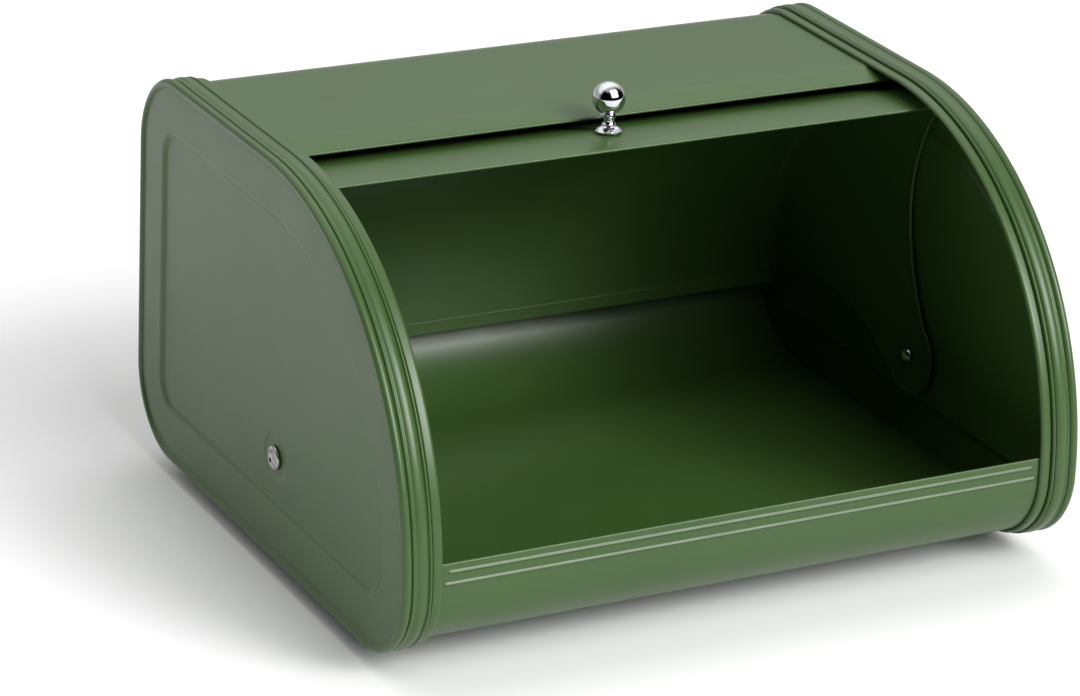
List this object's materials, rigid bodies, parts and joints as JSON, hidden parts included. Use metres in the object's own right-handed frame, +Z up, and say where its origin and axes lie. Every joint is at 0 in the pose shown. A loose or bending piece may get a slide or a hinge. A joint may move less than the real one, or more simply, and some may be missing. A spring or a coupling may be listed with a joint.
{
  "type": "bread box with roll top",
  "caption": "Sheet-metal bread box between two D-shaped end panels, with a curved roll-top lid on swinging arms and a ball knob, drawn open.",
  "frame": {"origin": "on the table, under the middle of the box's end panels' width and depth, at the feet's undersides", "axes": "+X to the box's right end seen from the front, +Y to its back, +Z up"},
  "size_m": [0.3054, 0.2598, 0.1868],
  "materials": {
    "green_coat": "satin green powder coat on steel sheet",
    "knob_chrome": "polished",
    "rivet_steel": "bright turned steel",
    "spacer_nylon": "natural nylon, matte",
    "foot_rubber": "matte black"
  },
  "bodies": {
    "box": {"body_shell": "green_coat", "left_side_panel": "green_coat", "right_side_panel": "green_coat", "left_edge_hoop": "green_coat", "right_edge_hoop": "green_coat", "left_pivot_screw": "rivet_steel", "right_pivot_screw": "rivet_steel", "left_pivot_spacer": "spacer_nylon", "right_pivot_spacer": "spacer_nylon", "left_pivot_cap": "knob_chrome", "right_pivot_cap": "knob_chrome", "front_left_foot": "foot_rubber", "front_right_foot": "foot_rubber", "back_left_foot": "foot_rubber", "back_right_foot": "foot_rubber"},
    "lid": {"lid_shell": "green_coat", "left_lid_arm": "green_coat", "right_lid_arm": "green_coat", "knob_ball": "knob_chrome", "knob_rosette": "knob_chrome", "knob_screw": "rivet_steel", "knob_washer": "rivet_steel"}
  },
  "joints": [
    {"name": "lid_hinge", "type": "hinge", "parent": "box", "child": "lid", "pos_m": [0, -0.007, 0.05], "axis": [1, 0, 0], "range_deg": [-1.5, 84.5]}
  ]
}
